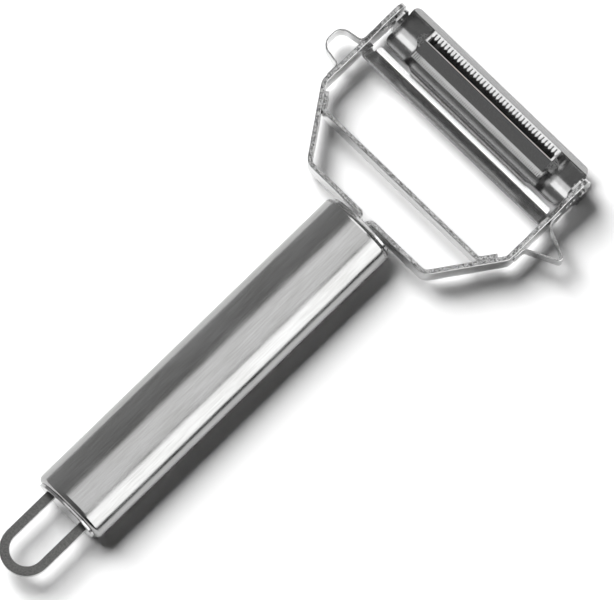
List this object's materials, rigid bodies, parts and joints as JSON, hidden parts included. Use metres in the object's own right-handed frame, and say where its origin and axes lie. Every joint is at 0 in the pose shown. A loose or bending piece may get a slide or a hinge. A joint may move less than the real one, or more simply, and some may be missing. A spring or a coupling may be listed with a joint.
{
  "type": "vegetable peeler",
  "caption": "Y-shaped all-metal vegetable peeler with an oval tubular handle, a swivelling trough blade with a toothed shredding insert, side gouges and a hanging loop.",
  "frame": {"origin": "centre of the footprint of the whole peeler, on the surface that it lies on", "axes": "+Y runs along the handle from the hanging loop towards the blade, +X runs along the blade towards the pointed gouge, +Z points away from the surface that it lies on"},
  "size_m": [0.0866, 0.1846, 0.014],
  "materials": {
    "brushed_tube": "brushed along the handle",
    "satin_strip": "satin, with darker blanked edges",
    "bright_sheet": "fine satin",
    "blade_steel": "ground and honed",
    "core_plastic": "moulded, hidden inside the handle"
  },
  "bodies": {
    "handle_and_yoke": {"handle_tube": "brushed_tube", "handle_front_cap": "brushed_tube", "handle_rear_cap": "brushed_tube", "front_core": "core_plastic", "rear_core": "core_plastic", "hanging_loop": "satin_strip", "yoke_left_arm": "satin_strip", "yoke_right_arm": "satin_strip", "crossbar": "satin_strip", "guard_bar": "bright_sheet", "round_gouge": "satin_strip", "pointed_gouge": "satin_strip", "pivot_pin_left": "bright_sheet", "pivot_pin_right": "bright_sheet", "pin_cap_left": "bright_sheet", "pin_cap_right": "bright_sheet"},
    "cutter": {"peeling_blade": "blade_steel", "insert_post_left": "bright_sheet", "insert_post_right": "bright_sheet", "julienne_plate": "blade_steel", "julienne_comb": "blade_steel"}
  },
  "joints": [
    {"name": "blade_swivel", "type": "hinge", "parent": "handle_and_yoke", "child": "cutter", "pos_m": [-0.00107, 0.086, 0.007], "axis": [1, 0, 0], "continuous": true}
  ]
}
